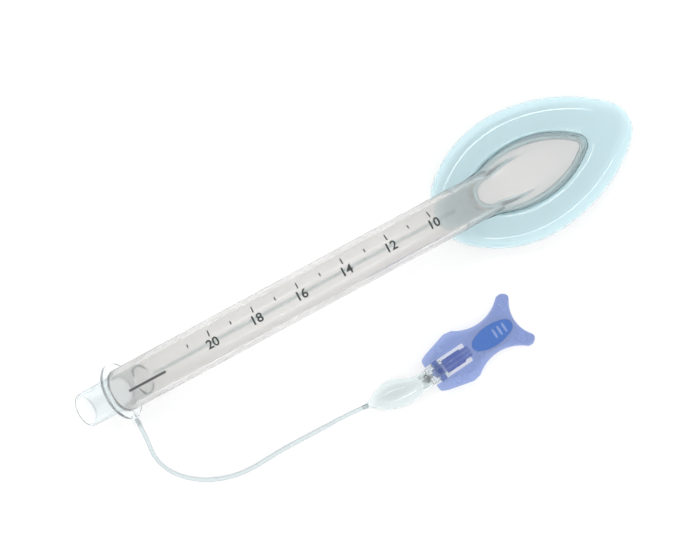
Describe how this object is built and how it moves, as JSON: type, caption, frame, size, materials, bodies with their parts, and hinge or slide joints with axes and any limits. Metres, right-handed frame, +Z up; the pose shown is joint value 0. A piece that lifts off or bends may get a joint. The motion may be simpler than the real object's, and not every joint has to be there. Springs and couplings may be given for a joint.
{
  "type": "laryngeal mask airway",
  "caption": "Curved clear airway tube with a tapered breathing connector, a domed mask ringed by a blue air cuff, and an inflation line with pilot balloon, valve and vent tag.",
  "frame": {"origin": "on the table, under the middle of the airway's length and on its plane of the arch; the free line and what is on it are left out", "axes": "+X along the airway from the breathing connector to the tip of the mask, +Z up from the table, the inflation port on the -Y side"},
  "size_m": [0.2644, 0.0958, 0.0475],
  "materials": {
    "clear_hard": "gloss",
    "clear_soft": "satin",
    "blue_tube": "satin",
    "blue_film": "satin",
    "pale_tube": "satin",
    "pale_film": "satin",
    "grey_plastic": "satin",
    "black_rubber": "matte",
    "spring_steel": "bright",
    "blue_plastic": "satin"
  },
  "bodies": {
    "airway": {"connector": "clear_hard", "airway_tube": "clear_soft", "cuff_filling_tube": "blue_tube", "cuff": "blue_film", "inflation_line": "pale_tube", "pilot_balloon": "pale_film", "valve_socket": "clear_hard", "valve_insert": "clear_hard", "valve_spring": "spring_steel"},
    "plunger": {"valve_plunger": "grey_plastic", "valve_seal": "black_rubber"},
    "tag": {"vent_tag": "blue_plastic"}
  },
  "joints": [
    {"name": "tag_pull", "type": "slide", "parent": "airway", "child": "tag", "axis": [0.991, 0.0937, -0.0958], "range_m": [0, 0.014]},
    {"name": "plunger_return", "type": "slide", "parent": "airway", "child": "plunger", "axis": [0.991, 0.0937, -0.0958], "range_m": [0, 0.00145]}
  ],
  "couplings": [
    {"joint": "plunger_return", "follows": "tag_pull", "ratio": 0.1}
  ]
}
